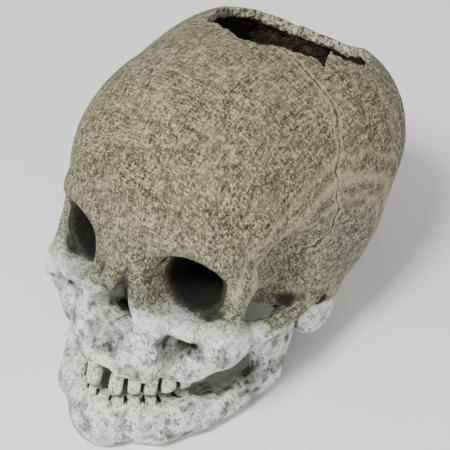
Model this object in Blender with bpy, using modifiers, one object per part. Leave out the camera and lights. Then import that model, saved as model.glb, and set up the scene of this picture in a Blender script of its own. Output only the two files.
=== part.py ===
"""Bubbling skull ornament for an aquarium.

A hollow cast skull with a broken-open crown stands on its own lower jaw, a second casting cemented
into it. An air line plugs in through the back of the head. Inside, a short tube feeds an air stone
on a screwed-down pedestal. The stone pulls up off its spigot for cleaning or renewal.

The castings are laid out in millimetres of a life-size skull: x to its left, y to its back, z up,
from the midpoint between the ear canals. They hang under an empty that scales and tips the head.
Everything else is in metres. +Z is up, the face looks along -Y, and the ornament stands on z = 0.
"""

import math

import bmesh
import bpy
from mathutils import Matrix, Vector

# Castings
LIFE = 0.00087  # metres of the ornament for one life-size millimetre
PITCH = math.radians(20)  # how far the head is tipped back
CHIN_Y, CHIN_Z = -78, -82  # where the chin stands, life-size
HEAD_Y = 0.0012  # centres the ornament on the origin
WALL = 5  # of the skull, life-size
GAP = 0.0003  # between pieces that touch
SEAT = 1.2  # cement space round the jaw's condyles and branches, life-size
UPPER_TEETH = 7  # on each side
LOWER_TEETH = 5  # on each side
UPPER_STEP = 12.6  # degrees of the dental arch from one tooth to the next
LOWER_STEP = 13.0
LOST_TOOTH = UPPER_STEP / 2  # the left front one, whose socket is broken through

# Air inlet, through a flat boss at the back of the head
INLET_Y = 0.0822  # outer face of the boss
INLET_Z = 0.0265
INLET_WALL = 0.0060
BOSS_R = 0.0100
GROMMET_HOLE_R = 0.0045
FLANGE = 0.0015
BARB_R = 0.0024
NECK_R = 0.0018
AIRWAY_R = 0.0010
BARB_LENGTH = 0.0080

# Air tube
TUBE_R = 0.0030
TUBE_BORE_R = 0.0020
TUBE_END_R = 0.0037  # stretched over a barb
TUBE_END_LENGTH = 0.0075

# Pedestal and air stone
FLOOR_Z = 0.0085  # top of the cast boss inside the head
FLOOR_R = 0.0195
STONE_Y = 0.0330
PEDESTAL_R = 0.0165
PEDESTAL_TOP = FLOOR_Z + 0.0125
ELBOW_Z = FLOOR_Z + 0.0080
SPIGOT_TOP = PEDESTAL_TOP + 0.0100
SCREW_X = 0.0125
SCREW_R = 0.0014
STONE_R = 0.0085
STONE_LENGTH = 0.0300

BONE_PAINT = ((0.56, 0.54, 0.44, 1), 0.85, 0.0)
JAW_PAINT = ((0.72, 0.72, 0.68, 1), 0.85, 0.0)
CLEAR_SILICONE = ((0.75, 0.80, 0.80, 1), 0.35, 0.0)
BLACK_RUBBER = ((0.02, 0.02, 0.02, 1), 0.8, 0.0)
BLACK_PLASTIC = ((0.04, 0.04, 0.04, 1), 0.45, 0.0)
WHITE_NYLON = ((0.80, 0.80, 0.76, 1), 0.5, 0.0)
BLUE_STONE = ((0.16, 0.30, 0.52, 1), 0.95, 0.0)


def clear_scene():
    for obj in list(bpy.data.objects):
        bpy.data.objects.remove(obj, do_unlink=True)


def new_collection(name, hidden=False):
    made = bpy.data.collections.new(name)
    made.hide_render = hidden
    bpy.context.scene.collection.children.link(made)
    return made


def link(obj, collection):
    for other in list(obj.users_collection):
        other.objects.unlink(obj)
    collection.objects.link(obj)
    return obj


def object_of(name, data):
    return link(bpy.data.objects.new(name, data), bpy.context.scene.collection)


def material(name, look):
    colour, roughness, metallic = look
    made = bpy.data.materials.new(name)
    made.use_nodes = True
    shader = made.node_tree.nodes["Principled BSDF"]
    shader.inputs["Base Color"].default_value = colour
    shader.inputs["Roughness"].default_value = roughness
    shader.inputs["Metallic"].default_value = metallic
    return made


def as_part(obj, name, look):
    obj.name = name
    obj.data.materials.clear()
    obj.data.materials.append(material(name, look))
    if obj.type == "MESH":
        obj.data.shade_smooth()
        obj.data.set_sharp_from_angle(angle=math.radians(40))
    return link(obj, PARTS)


def as_helper(obj):
    obj.hide_render = True
    obj.display_type = "WIRE"
    return link(obj, HELPERS)


def sides(mass, *knots, **more):
    """The same limb or mass on the right and on the left of the head."""
    return [mass(*[(side * knot[0], *knot[1:]) for knot in knots], **more) for side in (-1, 1)]


# Shapes on the head, in life-size millimetres


def new_head():
    """The empty that scales the life-size skull, tips it back and stands its chin on the ground."""
    head = object_of("head", None)
    chin = CHIN_Z * math.cos(PITCH) - CHIN_Y * math.sin(PITCH)
    head.scale = (LIFE, LIFE, LIFE)
    head.rotation_euler = (-PITCH, 0, 0)
    head.location = (0, HEAD_Y, -chin * LIFE)
    return head


def ellipsoid(centre, radii, tilt=0, turn=0, segments=24, rings=14):
    """tilt is about the skull's x axis and turn about its z axis, in degrees."""
    bpy.ops.mesh.primitive_uv_sphere_add(segments=segments, ring_count=rings, radius=1)
    obj = bpy.context.object
    obj.data.transform(Matrix.Diagonal((*radii, 1)))
    obj.rotation_euler = (math.radians(tilt), 0, math.radians(turn))
    obj.location = centre
    obj.parent = HEAD
    return obj


def ellipsoids(centre, radii, tilt=0, turn=0):
    x, y, z = centre
    return [ellipsoid((side * x, y, z), radii, tilt, side * turn) for side in (-1, 1)]


def limb(*knots):
    """A round limb through knots of x, y, z and radius."""
    curve = bpy.data.curves.new("limb", "CURVE")
    curve.dimensions = "3D"
    curve.bevel_depth = 1
    curve.bevel_resolution = 3
    curve.use_fill_caps = True
    spline = curve.splines.new("POLY")
    spline.points.add(len(knots) - 1)
    for point, (x, y, z, radius) in zip(spline.points, knots):
        point.co = (x, y, z, 1)
        point.radius = radius
    obj = object_of("limb", curve)
    obj.parent = HEAD
    return obj


def world_mesh(obj):
    """The object's evaluated shape in world space, with loose caps welded."""
    bpy.context.view_layer.update()
    graph = bpy.context.evaluated_depsgraph_get()
    mesh = bpy.data.meshes.new_from_object(obj.evaluated_get(graph))
    shape = bmesh.new()
    shape.from_mesh(mesh)
    shape.transform(obj.matrix_world)
    bmesh.ops.remove_doubles(shape, verts=shape.verts, dist=1e-7)
    bmesh.ops.recalc_face_normals(shape, faces=shape.faces)
    shape.to_mesh(mesh)
    shape.free()
    return mesh


def frozen(obj):
    """A plain mesh object in world space in place of a curve, a child or a modified object."""
    made = object_of(obj.name, world_mesh(obj))
    bpy.data.objects.remove(obj)
    return made


def fused(masses, voxel, smoothing, triangles):
    """Overlapping masses under one smooth skin of about this many triangles."""
    joined = bmesh.new()
    for mass in masses:
        joined.from_mesh(world_mesh(mass))
        bpy.data.objects.remove(mass)
    mesh = bpy.data.meshes.new("skin")
    joined.to_mesh(mesh)
    joined.free()
    skin = object_of("skin", mesh)
    remesh = skin.modifiers.new("one skin", "REMESH")
    remesh.mode = "VOXEL"
    remesh.voxel_size = voxel
    smooth = skin.modifiers.new("soft joins", "SMOOTH")
    smooth.factor = 0.5
    smooth.iterations = smoothing
    skin = frozen(skin)
    decimate = skin.modifiers.new("fewer faces", "DECIMATE")
    decimate.ratio = triangles / (2 * len(skin.data.polygons))
    return frozen(skin)


def combine(target, operation, others):
    """Live Booleans. EXACT drops the whole skull after a dozen cuts, so a casting uses MANIFOLD."""
    for other in others:
        other = as_helper(frozen(other))
        boolean = target.modifiers.new(operation.lower(), "BOOLEAN")
        boolean.operation = operation
        boolean.solver = "MANIFOLD" if target.name.startswith("skin") else "EXACT"
        boolean.object = other


def cut(target, *others):
    combine(target, "DIFFERENCE", others)


def join(target, *others):
    combine(target, "UNION", others)


# Shapes in metres


def cylinder(radius, low, high, x=0.0, y=0.0, segments=24):
    bpy.ops.mesh.primitive_cylinder_add(
        vertices=segments, radius=radius, depth=high - low, location=(x, y, (low + high) / 2)
    )
    return bpy.context.object


def lying_cylinder(radius, front, back, z, segments=24):
    obj = cylinder(radius, front, back, segments=segments)
    obj.rotation_euler.x = math.radians(90)
    obj.location = (0, (front + back) / 2, z)
    return obj


def turned(outline, segments):
    """A piece turned about Z from its closed outline of (radius, z), down the outside first."""
    mesh = bpy.data.meshes.new("outline")
    edges = [(i, (i + 1) % len(outline)) for i in range(len(outline))]
    mesh.from_pydata([(radius, 0, z) for radius, z in outline], edges, [])
    obj = object_of("turned", mesh)
    screw = obj.modifiers.new("turn", "SCREW")
    screw.steps = segments
    screw.render_steps = segments
    screw.use_merge_vertices = True
    screw.merge_threshold = 0.00001
    return frozen(obj)


def pipe(points, radii):
    """A round bar through points in metres."""
    curve = bpy.data.curves.new("pipe", "CURVE")
    curve.dimensions = "3D"
    curve.bevel_depth = 1
    curve.bevel_resolution = 3
    curve.use_fill_caps = True
    spline = curve.splines.new("POLY")
    spline.points.add(len(points) - 1)
    for knot, point, radius in zip(spline.points, points, radii):
        knot.co = (*point, 1)
        knot.radius = radius
    return frozen(object_of("pipe", curve))


# Skull


def arch_point(angle, half_width, depth, back=-40):
    """A point of a dental arch, at an angle from its front, and the way a tooth faces there."""
    angle = math.radians(angle)
    x = half_width * math.sin(angle)
    y = back - depth * math.cos(angle)
    turn = math.degrees(math.atan2(math.sin(angle) * depth, math.cos(angle) * half_width))
    return x, y, turn


def arch_limb(half_width, depth, z, radius):
    knots = []
    for step in range(-5, 6):
        x, y, _ = arch_point(20 * step, half_width, depth)
        knots.append((x, y, z, radius))
    return limb(*knots)


def tooth_row(count, step):
    """The angles of the teeth of one arch."""
    return [side * step * (place + 0.5) for place in range(count) for side in (-1, 1)]


def upper_tooth(angle):
    x, y, turn = arch_point(angle, 29, 46)
    molar = abs(angle) > 4 * UPPER_STEP
    size = (4.9, 4.6, 7.2) if molar else (4.2, 3.7, 8.8)
    return ellipsoid((x, y, -43), size, turn=turn, segments=7, rings=5)


def lower_tooth(angle):
    x, y, turn = arch_point(angle, 28, 43)
    return ellipsoid((x, y, -59), (3.4, 3.4, 6.6), turn=turn, segments=7, rings=5)


def braincase():
    masses = [
        ellipsoid((0, 8, 48), (67, 86, 68)),
        ellipsoid((0, -34, 46), (54, 53, 57)),
        *ellipsoids((26, -38, 44), (31, 41, 44)),
        ellipsoid((0, 52, 26), (54, 44, 46)),
        ellipsoid((0, 46, -8), (40, 42, 33)),
        *ellipsoids((28, 26, 66), (42, 52, 46)),
        *ellipsoids((42, 10, 20), (24, 46, 38)),
        *ellipsoids((51, 12, -14), (11, 14, 20), tilt=12),
        ellipsoid((0, -50, 30), (52, 37, 18)),
        ellipsoid((0, -46, 4), (48, 36, 34)),
        ellipsoid((0, -60, -22), (30, 26, 24)),
        ellipsoid((0, -38, -16), (26, 30, 24)),
    ]
    return fused(masses, voxel=0.0030, smoothing=6, triangles=1900)


def braincase_cavity():
    masses = [
        ellipsoid((0, 8, 48), (67 - WALL, 86 - WALL, 68 - WALL)),
        ellipsoid((0, -34, 60), (54 - WALL, 52 - WALL, 43 - WALL)),
        ellipsoid((0, 52, 26), (54 - WALL, 44 - WALL, 46 - WALL)),
        ellipsoid((0, 46, -4), (40 - WALL, 42 - WALL, 30 - WALL)),
        ellipsoid((0, -40, -10), (18, 26, 20)),
        *ellipsoids((28, 26, 66), (42 - WALL, 52 - WALL, 46 - WALL)),
        *ellipsoids((42, 10, 20), (24 - WALL, 46 - WALL, 38 - WALL)),
    ]
    return fused(masses, voxel=0.0040, smoothing=4, triangles=800)


def face_bones():
    """Brow, rims of the eye sockets, cheeks, nose and the arch that holds the upper teeth."""
    masses = [
        *sides(limb, (50, -56, 18, 5.5), (42, -68, 33, 7), (22, -79, 37, 8.5), (0, -81, 35, 10)),
        *sides(limb, (50, -57, 20, 5.5), (51, -60, 8, 5), (49, -62, -6, 6.5)),
        *sides(limb, (49, -62, -6, 6.5), (37, -73, -8, 6.5), (20, -80, -4, 7), (12, -81, 22, 6)),
        *ellipsoids((48, -59, -14), (11, 15, 12)),
        *sides(limb, (46, -60, -18, 10), (32, -64, -32, 10)),
        limb((0, -81, 30, 8), (0, -88, 14, 7), (0, -94, 4, 5.5)),
        *sides(limb, (10, -81, 10, 6.5), (16, -82, -8, 7), (17, -80, -26, 8)),
        arch_limb(27, 43, z=-34, radius=9),
    ]
    return fused(masses, voxel=0.0024, smoothing=4, triangles=1700)


def cheek_arches():
    arches = sides(limb, (51, -52, -13, 8), (58, -36, -9, 6), (60, -20, -5, 5.2), (56, 4, 0, 6.5))
    return [fused([arch], voxel=0.0018, smoothing=2, triangles=160) for arch in arches]


def temple_hollows():
    return [
        *ellipsoids((72, -40, 8), (25, 25, 38), turn=-10),
        *ellipsoids((58, -34, -22), (24, 17, 26)),
    ]


def socket_walls():
    """The backs of the eye sockets, which stand inside the hollow head."""
    return ellipsoids((27, -54, 13), (24, 24, 21))


def eye_sockets():
    sockets = sides(limb, (34, -104, 13, 19), (32, -72, 13, 17), (24, -48, 12, 11.5), (20, -42, 13, 7))
    return [fused([socket], voxel=0.0024, smoothing=2, triangles=240) for socket in sockets]


def nose_opening():
    """Pear-shaped, narrow at the top."""
    narrow = limb((0, -110, 0, 6), (0, -50, -4, 7))
    return [narrow, *sides(limb, (5.5, -110, -13, 7.5), (5, -50, -10, 8))]


def ear_canals():
    return sides(limb, (76, 2, -5, 4), (40, 2, -5, 3.5))


def jaw_seats():
    return [
        *ellipsoids((49, -13, -32), (5.5 + SEAT, 16 + SEAT, 25 + SEAT), tilt=-8),
        *ellipsoids((50, -6, -11), (7 + SEAT, 6 + SEAT, 5 + SEAT)),
    ]


def crown_break():
    """A prism with a jagged outline that leans back with the top of the head."""
    corners = 28
    ring = []
    for i in range(corners):
        angle = math.tau * i / corners
        reach = 1 + 0.07 * math.sin(3 * angle + 0.6) + 0.05 * math.sin(7 * angle)
        reach += 0.05 * (-1) ** i * math.cos(angle / 2) ** 2
        ring.append((41 * reach * math.cos(angle), 41 * reach * math.sin(angle)))
    shape = bmesh.new()
    face = shape.faces.new([shape.verts.new((x, y, 0)) for x, y in ring])
    raised = bmesh.ops.extrude_face_region(shape, geom=[face])["geom"]
    top = [item for item in raised if isinstance(item, bmesh.types.BMVert)]
    bmesh.ops.translate(shape, verts=top, vec=(0, 0, 60))
    bmesh.ops.recalc_face_normals(shape, faces=shape.faces)
    mesh = bpy.data.meshes.new("crown_break")
    shape.to_mesh(mesh)
    shape.free()
    obj = object_of("crown_break", mesh)
    obj.rotation_euler.x = math.radians(-9)
    obj.location = (0, 21, 82)
    obj.parent = HEAD
    return obj


def ground():
    """Everything below z = 0, which cuts flat feet."""
    bpy.ops.mesh.primitive_cube_add(size=0.4, location=(0, 0, -0.2))
    return bpy.context.object


def build_skull():
    wall_inside = INLET_Y - INLET_WALL
    skull = braincase()
    cut(skull, *temple_hollows())
    join(skull, face_bones(), *cheek_arches())
    join(skull, lying_cylinder(BOSS_R, wall_inside - 0.004, INLET_Y + 0.002, INLET_Z))
    cut(skull, braincase_cavity())
    join(skull, *socket_walls())
    join(skull, cylinder(FLOOR_R, 0.0005, FLOOR_Z + 0.001, y=STONE_Y, segments=32))
    cut(skull, cylinder(FLOOR_R - 0.001, FLOOR_Z, PEDESTAL_TOP, y=STONE_Y, segments=32))
    cut(skull, lying_cylinder(BOSS_R + 0.002, INLET_Y, INLET_Y + 0.02, INLET_Z))
    cut(skull, lying_cylinder(BOSS_R - 0.001, wall_inside - 0.02, wall_inside, INLET_Z))
    cut(skull, lying_cylinder(GROMMET_HOLE_R, wall_inside - 0.01, INLET_Y + 0.01, INLET_Z, 20))
    cut(skull, *eye_sockets(), *nose_opening(), *ear_canals(), *jaw_seats())
    cut(skull, crown_break(), ellipsoid((0, -6, -34), (20, 26, 24)))
    teeth = [angle for angle in tooth_row(UPPER_TEETH, UPPER_STEP) if angle != LOST_TOOTH]
    join(skull, *[upper_tooth(angle) for angle in teeth])
    cut(skull, limb((5, -104, -45, 4.5), (3, -66, -36, 6)))
    for side in (-1, 1):
        cut(skull, cylinder(SCREW_R + GAP, FLOOR_Z - 0.007, FLOOR_Z + 0.01, side * SCREW_X, STONE_Y, 12))
    cut(skull, ground())
    return as_part(skull, "skull_casting", BONE_PAINT)


# Jaw


def build_jaw():
    body = [(48, -12, -47, 7), (45, -30, -55, 8), (38, -50, -62, 9), (26, -67, -68, 10)]
    masses = [
        *sides(limb, *body, (0, -77, -73, 11)),
        ellipsoid((0, -83, -74), (15, 7, 10)),
        arch_limb(28, 42, z=-63, radius=7.5),
        *ellipsoids((49, -13, -32), (5.5, 16, 25), tilt=-8),
        *ellipsoids((50, -6, -11), (7, 6, 5)),
    ]
    jaw = fused(masses, voxel=0.0024, smoothing=4, triangles=1400)
    join(jaw, *[lower_tooth(angle) for angle in tooth_row(LOWER_TEETH, LOWER_STEP)])
    cut(jaw, ground())
    return as_part(jaw, "jaw_casting", JAW_PAINT)


# Air line


def facing_back(obj, z):
    """Lays a piece turned about Z along +Y, with its own origin on the inlet boss's face."""
    obj.rotation_euler.x = math.radians(-90)
    obj.location = (0, INLET_Y, z)
    return obj


def build_grommet():
    inner = -INLET_WALL - GAP
    neck_r = GROMMET_HOLE_R - GAP
    flange_r = 0.0065
    bore_r = BARB_R + 0.0002
    outline = [
        (flange_r, GAP + FLANGE),
        (flange_r, GAP),
        (neck_r, GAP),
        (neck_r, inner),
        (flange_r, inner),
        (flange_r, inner - FLANGE),
        (bore_r, inner - FLANGE),
        (bore_r, GAP + FLANGE),
    ]
    grommet = facing_back(turned(outline, 20), INLET_Z)
    return as_part(grommet, "inlet_grommet", BLACK_RUBBER)


def barb(start, direction):
    """The outside of a hose barb, as (radius, place) from its root to its tip."""
    steps = [(NECK_R, 0), (NECK_R, 0.35), (BARB_R, 0.36), (NECK_R, 0.68), (BARB_R, 0.69), (0.0015, 1)]
    return [(radius, start + direction * BARB_LENGTH * share) for radius, share in steps]


def build_connector():
    """Double-ended barb with a collar that rests on the grommet."""
    collar = 2 * GAP + FLANGE
    neck_end = -INLET_WALL - FLANGE - 2 * GAP
    outer_barb = barb(collar + FLANGE, 1)
    inner_barb = barb(neck_end, -1)
    outline = [
        *reversed(outer_barb),
        (0.0045, collar + FLANGE),
        (0.0045, collar),
        (BARB_R - 0.0001, collar),
        (BARB_R - 0.0001, neck_end),
        *inner_barb,
        (AIRWAY_R, inner_barb[-1][1]),
        (AIRWAY_R, outer_barb[-1][1]),
    ]
    connector = facing_back(turned(outline, 16), INLET_Z)
    return as_part(connector, "inlet_connector", BLACK_PLASTIC)


def tube_route():
    """Centre line from the inlet's inner barb down to the pedestal's elbow."""
    back = INLET_Y - INLET_WALL - FLANGE - 3 * GAP
    front = STONE_Y + 0.0065
    route = [(0, back, INLET_Z), (0, back - TUBE_END_LENGTH, INLET_Z)]
    steps = 10
    run = back - front - 2 * TUBE_END_LENGTH
    for i in range(1, steps):
        along = i / steps
        drop = (1 - math.cos(math.pi * along)) / 2
        route.append((0, route[1][1] - run * along, INLET_Z + (ELBOW_Z - INLET_Z) * drop))
    return [*route, (0, front + TUBE_END_LENGTH, ELBOW_Z), (0, front, ELBOW_Z)]


def build_tube():
    route = tube_route()
    ends = (0, 1, len(route) - 2, len(route) - 1)
    stretch = TUBE_END_R - TUBE_R
    outer = [TUBE_R + (stretch if i in ends else 0) for i in range(len(route))]
    bore = [TUBE_BORE_R + (stretch if i in ends else 0) for i in range(len(route))]
    past = 0.001
    bore_route = [(0, route[0][1] + past, INLET_Z), *route[1:-1], (0, route[-1][1] - past, ELBOW_Z)]
    tube = pipe(route, outer)
    cut(tube, pipe(bore_route, bore))
    return as_part(tube, "inner_air_tube", CLEAR_SILICONE)


# Air stone


def build_pedestal():
    """Screw-down flange with a barbed elbow at the back and a spigot on top."""
    foot = FLOOR_Z + GAP
    outline = [
        (NECK_R + 0.0006, SPIGOT_TOP),
        (NECK_R + 0.0006, PEDESTAL_TOP),
        (0.0055, PEDESTAL_TOP),
        (0.0060, foot + 0.0028),
        (PEDESTAL_R, foot + 0.0024),
        (PEDESTAL_R, foot),
        (AIRWAY_R, foot),
        (AIRWAY_R, SPIGOT_TOP),
    ]
    pedestal = turned(outline, 28)
    pedestal.location.y = STONE_Y
    pedestal = frozen(pedestal)
    elbow = turned([*reversed(barb(0, 1)), (NECK_R, -0.003), (0, -0.003), (0, BARB_LENGTH)], 16)
    elbow.rotation_euler.x = math.radians(-90)
    elbow.location = (0, STONE_Y + 0.0058, ELBOW_Z)
    plug = cylinder(AIRWAY_R + 0.0008, foot, ELBOW_Z - 2 * AIRWAY_R, y=STONE_Y, segments=12)
    join(pedestal, elbow, plug)
    cut(pedestal, lying_cylinder(AIRWAY_R, STONE_Y, STONE_Y + 0.02, ELBOW_Z, segments=12))
    for side in (-1, 1):
        cut(pedestal, cylinder(SCREW_R + GAP, 0, PEDESTAL_TOP, side * SCREW_X, STONE_Y, 16))
    return as_part(pedestal, "stone_pedestal", BLACK_PLASTIC)


def build_screw(side, name):
    """Pan-head nylon screw with a coarse thread."""
    under_head = FLOOR_Z + 2 * GAP + 0.0026
    tip = FLOOR_Z - 0.0062
    threads = 4
    pitch = (under_head - tip) / (threads + 1)
    outline = [(0, under_head + 0.0018), (0.0016, under_head + 0.0017), (0.0026, under_head + 0.0010)]
    outline += [(0.0026, under_head), (SCREW_R - 0.0002, under_head)]
    for turn in range(1, threads + 1):
        outline.append((SCREW_R, under_head - pitch * turn))
        outline.append((SCREW_R - 0.0003, under_head - pitch * (turn + 0.5)))
    outline.append((0, tip))
    screw = turned(outline, 12)
    screw.location = (side * SCREW_X, STONE_Y, 0)
    return as_part(screw, name, WHITE_NYLON)


def build_stem():
    """Socket that slides on the spigot, with a nose cemented into the stone."""
    low = PEDESTAL_TOP + GAP
    collar = SPIGOT_TOP + GAP
    outline = [
        (0.0019, collar + 0.0110),
        (0.0022, collar + 0.0018),
        (0.0060, collar + 0.0018),
        (0.0060, collar),
        (0.0042, collar - 0.0010),
        (0.0042, low),
        (NECK_R + 0.0009, low),
        (NECK_R + 0.0009, collar),
        (AIRWAY_R, collar),
        (AIRWAY_R, collar + 0.0110),
    ]
    stem = turned(outline, 20)
    stem.location.y = STONE_Y
    return as_part(stem, "stone_stem", BLACK_PLASTIC)


def build_stone():
    low = SPIGOT_TOP + 2 * GAP + 0.0018
    high = low + STONE_LENGTH
    chamfer = 0.0010
    bore_r = 0.0025
    bore_top = low + 0.0130
    outline = [
        (0, high),
        (STONE_R - chamfer, high),
        (STONE_R, high - chamfer),
        (STONE_R, low + chamfer),
        (STONE_R - chamfer, low),
        (bore_r, low),
        (bore_r, bore_top),
        (0, bore_top),
    ]
    stone = turned(outline, 28)
    stone.location.y = STONE_Y
    return as_part(stone, "air_stone", BLUE_STONE)


clear_scene()
PARTS = new_collection("bubbling_skull_ornament")
HELPERS = new_collection("cutters", hidden=True)
HEAD = new_head()
build_skull()
build_jaw()
build_grommet()
build_connector()
build_tube()
build_pedestal()
build_screw(-1, "pedestal_screw_right")
build_screw(1, "pedestal_screw_left")
build_stem()
build_stone()
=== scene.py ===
"""Looks of the bubbling skull ornament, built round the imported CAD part.

The castings, their teeth and the air stone are carved as signed distance fields: numbers on a grid
that are negative inside the material and positive outside, in life-size millimetres. Each field is
turned into one skin with a procedural material. The two castings are dented and pitted as well. The
other air parts stay as the CAD made them, with finishes.
"""

import math
from itertools import product

import bpy
import numpy as np
import openvdb
from mathutils import Matrix, Vector


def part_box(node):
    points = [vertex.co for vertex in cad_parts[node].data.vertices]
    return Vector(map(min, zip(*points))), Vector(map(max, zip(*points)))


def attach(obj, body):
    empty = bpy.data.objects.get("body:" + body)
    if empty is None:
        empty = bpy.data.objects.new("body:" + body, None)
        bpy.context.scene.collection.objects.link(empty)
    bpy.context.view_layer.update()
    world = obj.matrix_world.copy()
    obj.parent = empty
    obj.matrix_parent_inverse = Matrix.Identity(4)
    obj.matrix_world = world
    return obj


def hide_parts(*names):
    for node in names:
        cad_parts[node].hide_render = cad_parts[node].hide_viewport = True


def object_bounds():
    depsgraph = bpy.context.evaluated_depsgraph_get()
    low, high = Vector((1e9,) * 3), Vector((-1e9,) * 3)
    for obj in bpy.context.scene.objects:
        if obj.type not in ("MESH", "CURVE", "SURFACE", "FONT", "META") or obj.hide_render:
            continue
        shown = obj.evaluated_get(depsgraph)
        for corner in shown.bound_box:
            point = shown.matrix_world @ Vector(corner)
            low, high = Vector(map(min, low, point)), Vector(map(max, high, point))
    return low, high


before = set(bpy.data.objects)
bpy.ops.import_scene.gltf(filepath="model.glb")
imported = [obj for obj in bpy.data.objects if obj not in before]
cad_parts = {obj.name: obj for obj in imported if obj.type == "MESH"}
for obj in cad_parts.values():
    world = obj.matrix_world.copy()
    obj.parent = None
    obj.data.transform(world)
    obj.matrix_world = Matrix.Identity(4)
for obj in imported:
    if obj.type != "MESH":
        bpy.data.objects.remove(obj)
CAD_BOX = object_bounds()

# The head, as the part lays it out: life-size millimetres, tipped back and scaled
LIFE = 0.00087  # metres of the ornament for one life-size millimetre
PITCH = math.radians(20)
HEAD_Y = 0.0012
CHIN_Y, CHIN_Z = -78, -82  # where the chin stands
HEAD_Z = -(CHIN_Z * math.cos(PITCH) - CHIN_Y * math.sin(PITCH)) * LIFE
WALL = 5.0  # of the skull

# The crown's opening: the middle of its edge, its half-width and how far it leans back
CROWN_Y, CROWN_Z = 21, 82
CROWN_R = 40
CROWN_LEAN = math.radians(9)
# Steps and notches round its edge: degrees from the left side, half-width, depth
BREAKS = [
    (-34, 5, 0.10),
    (-22, 8, -0.12),
    (-5, 12, 0.06),
    (-80, 14, 0.05),
    (20, 8, -0.06),
    (70, 9, 0.08),
    (110, 7, -0.07),
    (140, 10, 0.05),
    (-150, 8, -0.05),
]

# Teeth: how many on each side, and the degrees of the arch from one to the next
UPPER_TEETH = 7
LOWER_TEETH = 6
UPPER_STEP = 12.6
LOWER_STEP = 13.0
LOST_TOOTH = UPPER_STEP / 2  # the left front one
ARCH_BACK = -40  # where both arches open, in y
UPPER_ARCH = (29, 46, -43)  # half-width, depth, and height of the crowns' middles
LOWER_ARCH = (28, 43, -59)
UPPER_FRONT, UPPER_MOLAR = (3.9, 3.5, 8.9), (4.5, 4.4, 7.4)  # half-widths across, through and up
LOWER_FRONT, LOWER_MOLAR = (3.3, 3.1, 6.5), (4.2, 4.0, 6.2)
ROW_HALF_WIDTH, ROW_HALF_HEIGHT = 38, 10  # of the box that a row is carved in
ROW_FRONT, ROW_REAR = -94, -34
UPPER_SEED, LOWER_SEED = 31, 47

# Grid steps, in life-size millimetres
SKULL_STEP = 0.9
JAW_STEP = 0.7
TOOTH_STEP = 0.42
STONE_STEP = 0.40

# The air parts' seats, in metres
INLET_Y = 0.0822  # outer face of the boss at the back
INLET_Z = 0.0265
INLET_WALL = 0.0060  # thickness of the wall there
WALL_INSIDE = INLET_Y - INLET_WALL
BOSS_R = 0.0100
GROMMET_HOLE_R = 0.0045
FLOOR_Z = 0.0085  # top of the cast boss inside the head
FLOOR_R = 0.0195
PEDESTAL_TOP = 0.0210
STONE_Y = 0.0330
STONE_ROUNDING = 0.0012
STONE_BORE_R = 0.0031  # wider than the part's, so that the grit clears the stem
GAP = 0.0003
MARGIN = 0.0065  # of a grid round its shape

NO_LINE = 50  # a distance at which no line is painted

# Camera and stage: metres, with the lens in millimetres
AZIMUTH = math.radians(38)
ELEVATION = math.radians(42)
ROLL = math.radians(-2)
DISTANCE = 0.62
LENS = 115
AIM = Vector((0.0060, -0.0027, 0.0597))
FLOOR_SIZE = 6
STUDIO_LIGHT = 0.55


# Distance fields. A shape is its distance function and the low and high corners of its box.


def to_head(x, y, z):
    """Life-size head coordinates of points in metres."""
    y = (y - HEAD_Y) / LIFE
    z = (z - HEAD_Z) / LIFE
    back = y * math.cos(PITCH) - z * math.sin(PITCH)
    up = y * math.sin(PITCH) + z * math.cos(PITCH)
    return x / LIFE, back, up


def to_world(x, y, z):
    """Metres of life-size head coordinates."""
    back = y * math.cos(PITCH) + z * math.sin(PITCH)
    up = -y * math.sin(PITCH) + z * math.cos(PITCH)
    return x * LIFE, back * LIFE + HEAD_Y, up * LIFE + HEAD_Z


def ease(value):
    """A smooth step from 0 to 1."""
    value = np.clip(value, 0, 1)
    return value * value * (3 - 2 * value)


def soft_min(a, b, blend):
    """The smaller of two distances, rounded over where they are less than blend apart."""
    mix = np.clip(0.5 + 0.5 * (b - a) / blend, 0, 1)
    return b + (a - b) * mix - blend * mix * (1 - mix)


def ellipsoid(centre, radii, tilt=0, turn=0):
    """An ellipsoid, with tilt about the head's x axis and turn about its z axis, in degrees."""
    tilt, turn = math.radians(tilt), math.radians(turn)

    def distance(x, y, z):
        x, y, z = x - centre[0], y - centre[1], z - centre[2]
        x, y = x * math.cos(turn) + y * math.sin(turn), y * math.cos(turn) - x * math.sin(turn)
        y, z = y * math.cos(tilt) + z * math.sin(tilt), z * math.cos(tilt) - y * math.sin(tilt)
        u, v, w = x / radii[0], y / radii[1], z / radii[2]
        reach = np.sqrt(u * u + v * v + w * w) + 1e-6
        slope = np.sqrt((u / radii[0]) ** 2 + (v / radii[1]) ** 2 + (w / radii[2]) ** 2) + 1e-6
        return reach * (reach - 1) / slope

    widest = max(radii)
    return distance, [c - widest for c in centre], [c + widest for c in centre]


def limb(*knots):
    """A round limb through knots of x, y, z and radius."""

    def distance(x, y, z):
        nearest = None
        for (ax, ay, az, ar), (bx, by, bz, br) in zip(knots, knots[1:]):
            dx, dy, dz = bx - ax, by - ay, bz - az
            along = ((x - ax) * dx + (y - ay) * dy + (z - az) * dz) / (dx * dx + dy * dy + dz * dz)
            along = np.clip(along, 0, 1)
            off_x, off_y, off_z = x - ax - along * dx, y - ay - along * dy, z - az - along * dz
            gap = np.sqrt(off_x**2 + off_y**2 + off_z**2) - (ar + along * (br - ar))
            nearest = gap if nearest is None else np.minimum(nearest, gap)
        return nearest

    low = [min(knot[i] - knot[3] for knot in knots) for i in range(3)]
    high = [max(knot[i] + knot[3] for knot in knots) for i in range(3)]
    return distance, low, high


def both_limbs(*knots):
    """The same limb on the right and on the left of the head."""
    return [limb(*[(side * knot[0], *knot[1:]) for knot in knots]) for side in (-1, 1)]


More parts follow.
